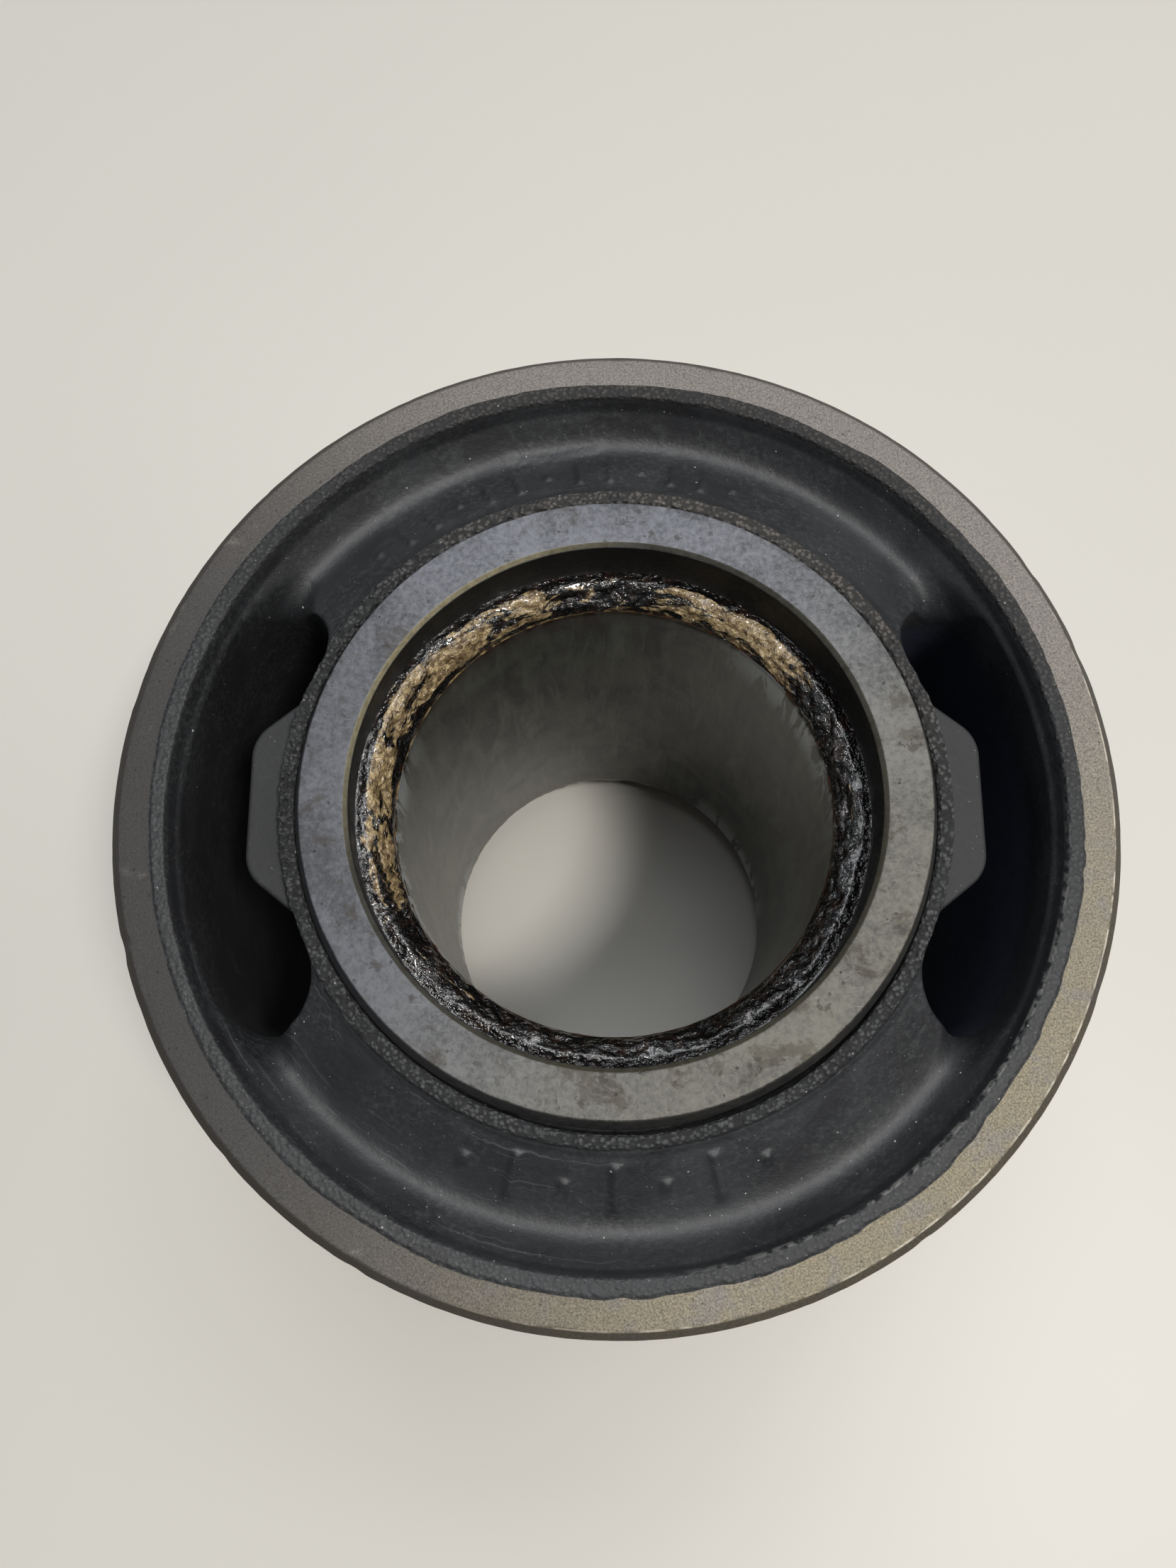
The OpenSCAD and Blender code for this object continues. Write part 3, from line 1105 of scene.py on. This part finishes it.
def inner_steel_material():
    """Machined and mottled steel, darker with painted shade where it isn't the flat face, and
    painted reflections on the face.
    """
    s = Shader("inner_steel_mottled")
    broad = s.noise(0.12, 5, distortion=0.8)
    cloudy = s.noise(1.5, 8, distortion=0.3, roughness=0.75)
    mottle = s.mask(s.blend(0.4, cloudy, broad), 0.36, 0.62)
    blot = s.mask(s.noise(0.22, 6, roughness=0.7, distortion=0.8), 0.54, 0.64)
    colour = sleeve_edges(s, face_colour(s, mottle, blot), s.radius(), s.height())
    rough = s.blend(blot, s.scale_to(mottle, 0.44, 0.6), 0.66)
    fine = s.bump(s.noise(2.8, 5, roughness=0.7), 0.035)
    pits = s.bump(s.specks(0.9, 0.14, 0.3), -0.1, fine)
    ripple = s.bump(s.noise(0.5, 3), 0.05, pits)
    return s.finish(colour, rough, ripple, metallic=0.3)


def running_film(s, height, streak):
    """The liner's dull olive running coat, with painted bluish-white reflections at two sides
    near each end, and rust at one place.
    """
    smear = s.noise(1.0, 6, s.stretched(s.place, 0.13, 0.13, 0.09), distortion=1.2)
    film_and_painted_light = s.mix(s.mask(smear, 0.36, 0.64), tint(16, 17, 13), tint(68, 69, 57))
    film_and_painted_light = s.mix(s.mask(streak, 0.42, 0.74), film_and_painted_light, tint(104, 106, 97))
    # Painted reflection: bluish-white streaks near each end of the bore, at two sides.
    reflection_streaks = s.both(s.mask(height, 26, 33), s.mask(streak, 0.44, 0.52))
    side = s.either(s.facing(28, 36), s.facing(196, 46))
    film_and_painted_light = s.mix(s.both(reflection_streaks, side), film_and_painted_light, tint(166, 171, 174))
    rust = s.both(s.mask(height, 30, 34.5), s.facing(110, 60))
    return s.layer(film_and_painted_light, rust, 0.5, tint(66, 44, 34))


def liner_material():
    """Bearing bronze with a dull olive running coat and a gold lip bared by wear, lighter on its
    upper-left side as a painted highlight.
    """
    s = Shader("liner_bronze_film")
    height = s.height()
    lengthwise = s.stretched(s.place, 0.42, 0.42, 0.07)
    streak = s.noise(1.0, 6, lengthwise, roughness=0.66, distortion=0.5)
    lip = s.mask(height, SEAT_Z - 0.22, SEAT_Z - 0.16)
    wear_and_highlight = s.mask(s.noise(0.8, 6, roughness=0.7), 0.42, 0.62)
    # Painted highlight: the gold lip is lighter on its upper-left side.
    bright = s.mix(s.facing(140, 70), tint(104, 60, 34), tint(176, 150, 104))
    gold = s.mix(wear_and_highlight, tint(46, 26, 14), bright)
    colour = s.mix(lip, running_film(s, height, streak), gold)
    rough = s.blend(lip, s.scale_to(streak, 0.22, 0.42), 0.35)
    fine = s.bump(s.noise(2.0, 5), 0.03)
    marks = s.bump(streak, 0.06, fine)
    return s.finish(colour, rough, marks, metallic=0.45)


def grease_material():
    """Old grease: black and wet where it is fresh, tan and dull where it dried, and the tan on
    the upper left also stands for a painted golden sheen.
    """
    s = Shader("old_grease")
    across = s.part(s.ring, 2)
    round_ring = s.stretched(s.ring, 4.5, 4.5, 0.6)
    patch = s.noise(1.0, 7, round_ring, distortion=0.8, roughness=0.62)
    # Tan grease laid mostly on the upper left, where it is also a painted golden sheen along the
    # bead, and on the upper right.
    dry_and_sheen_side = s.either(s.facing(150, 78), s.both(s.facing(56, 30), 0.9))
    middle = s.band(across, (0.2, 1.6), (6.2, 3.6))
    bias = s.both(s.both(dry_and_sheen_side, middle), 0.25)
    dry_and_sheen = s.mask(s.math("ADD", patch, bias), 0.655, 0.70)
    wet = s.mix(s.mask(s.noise(0.9, 5), 0.45, 0.7), tint(8, 8, 9), tint(38, 25, 19))
    crumbs = s.mask(s.noise(1.3, 6, roughness=0.7), 0.35, 0.65)
    tan = s.mix(crumbs, tint(84, 66, 46), tint(174, 152, 112))
    colour = s.mix(dry_and_sheen, wet, tan)
    rough = s.blend(dry_and_sheen, s.scale_to(s.noise(1.2, 4), 0.06, 0.16), 0.24)
    fine = s.bump(s.noise(1.7, 3), 0.4)
    lumps = s.bump(s.noise(0.8, 3), 0.6, fine)
    wet_film = {"Coat_Weight": 0.6, "Coat_Roughness": 0.1}
    return s.finish(colour, rough, lumps, Specular_IOR_Level=1.0, **wet_film)


def floor_material():
    """A pale laminate table top."""
    s = Shader("pale_table")
    place = s.add("TexCoord", {}).outputs["Object"]
    cloud = s.noise(3.0, 4, place)  # waves to a metre here
    colour = s.mix(cloud, tint(196, 193, 186), tint(203, 200, 193))
    grain = s.bump(s.noise(900, 3, place), 0.01)
    return s.finish(colour, s.scale_to(cloud, 0.42, 0.5), grain)


# ------------ stage


FLOOR_REACH = 3.0  # metres from the bushing to each edge of the table
FLOOR_CELLS = 8
CAMERA_PLACE = (-0.0018, -0.0330, 0.1722)
CAMERA_TILT = math.radians(14.84)
CAMERA_SIDE_TILT = math.radians(0.39)
CAMERA_LENS = 31.41
SOFTBOXES = [
    ("key_lamp", (0.33, -0.22, 1.12), (0.17, 0.17), 9.4, (1.0, 0.97, 0.92)),
    ("softbox_back", (0.02, 0.42, 0.90), (0.55, 0.30), 3.0, (0.94, 0.97, 1.0)),
    ("softbox_above", (-0.02, 0.12, 1.00), (0.34, 0.30), 1.3, (0.96, 0.98, 1.0)),
    ("softbox_right", (0.55, 0.05, 0.50), (0.75, 0.3), 1.0, (1.0, 0.98, 0.95)),
    ("softbox_left", (-0.60, 0.10, 0.46), (0.75, 0.3), 0.4, (0.90, 0.95, 1.0)),
]  # name, place, size, power and colour
ROOM_COLOUR = (0.94, 0.97, 1.0, 1.0)
ROOM_STRENGTH = 0.16


def add_floor(height):
    """A pale table top under the bushing."""
    ticks = np.linspace(-FLOOR_REACH, FLOOR_REACH, FLOOR_CELLS + 1)
    points = [(x, y, height) for y in ticks for x in ticks]
    row = FLOOR_CELLS + 1
    starts = [i * row + j for i in range(FLOOR_CELLS) for j in range(FLOOR_CELLS)]
    faces = [(k, k + 1, k + 1 + row, k + row) for k in starts]
    mesh = bpy.data.meshes.new("table_top")
    mesh.from_pydata(points, [], faces)
    mesh.materials.append(floor_material())
    floor = bpy.data.objects.new("table_top", mesh)
    bpy.context.scene.collection.objects.link(floor)


def add_light(name, place, size, power, colour):
    """A softbox that looks at the bushing."""
    light = bpy.data.lights.new(name, "AREA")
    light.shape = "RECTANGLE"
    light.size, light.size_y = size
    light.energy = power
    light.color = colour
    lamp = bpy.data.objects.new(name, light)
    bpy.context.scene.collection.objects.link(lamp)
    lamp.location = place
    direction = -lamp.location.normalized()
    lamp.rotation_euler = direction.to_track_quat("-Z", "Y").to_euler()


def add_world(colour, strength):
    """Even light from all round."""
    world = bpy.data.worlds.new("room")
    world.use_nodes = True
    background = world.node_tree.nodes["Background"]
    background.inputs["Color"].default_value = colour
    background.inputs["Strength"].default_value = strength
    bpy.context.scene.world = world


def add_camera():
    """Looks from above and a little in front, close to the part."""
    camera = bpy.data.cameras.new("camera")
    camera.sensor_width = 36.0
    camera.lens = CAMERA_LENS
    camera.clip_start = 0.01
    mount = bpy.data.objects.new("camera", camera)
    bpy.context.scene.collection.objects.link(mount)
    mount.location = CAMERA_PLACE
    mount.rotation_euler = (CAMERA_TILT, CAMERA_SIDE_TILT, 0)
    bpy.context.scene.camera = mount


# ------------ build

rubber = rubber_material()
grease = grease_material()
outer_rubber(rubber)
inner_rubber(rubber)
outer_sleeve(outer_steel_material())
inner_sleeve(inner_steel_material())
bearing_liner(liner_material())
grease_bead("old_grease_top", 1, 61, grease)
grease_bead("old_grease_bottom", -1, 81, grease)

add_floor(cad_low.z)
for softbox in SOFTBOXES:
    add_light(*softbox)
add_world(ROOM_COLOUR, ROOM_STRENGTH)
add_camera()
bpy.context.scene.view_settings.view_transform = "Standard"
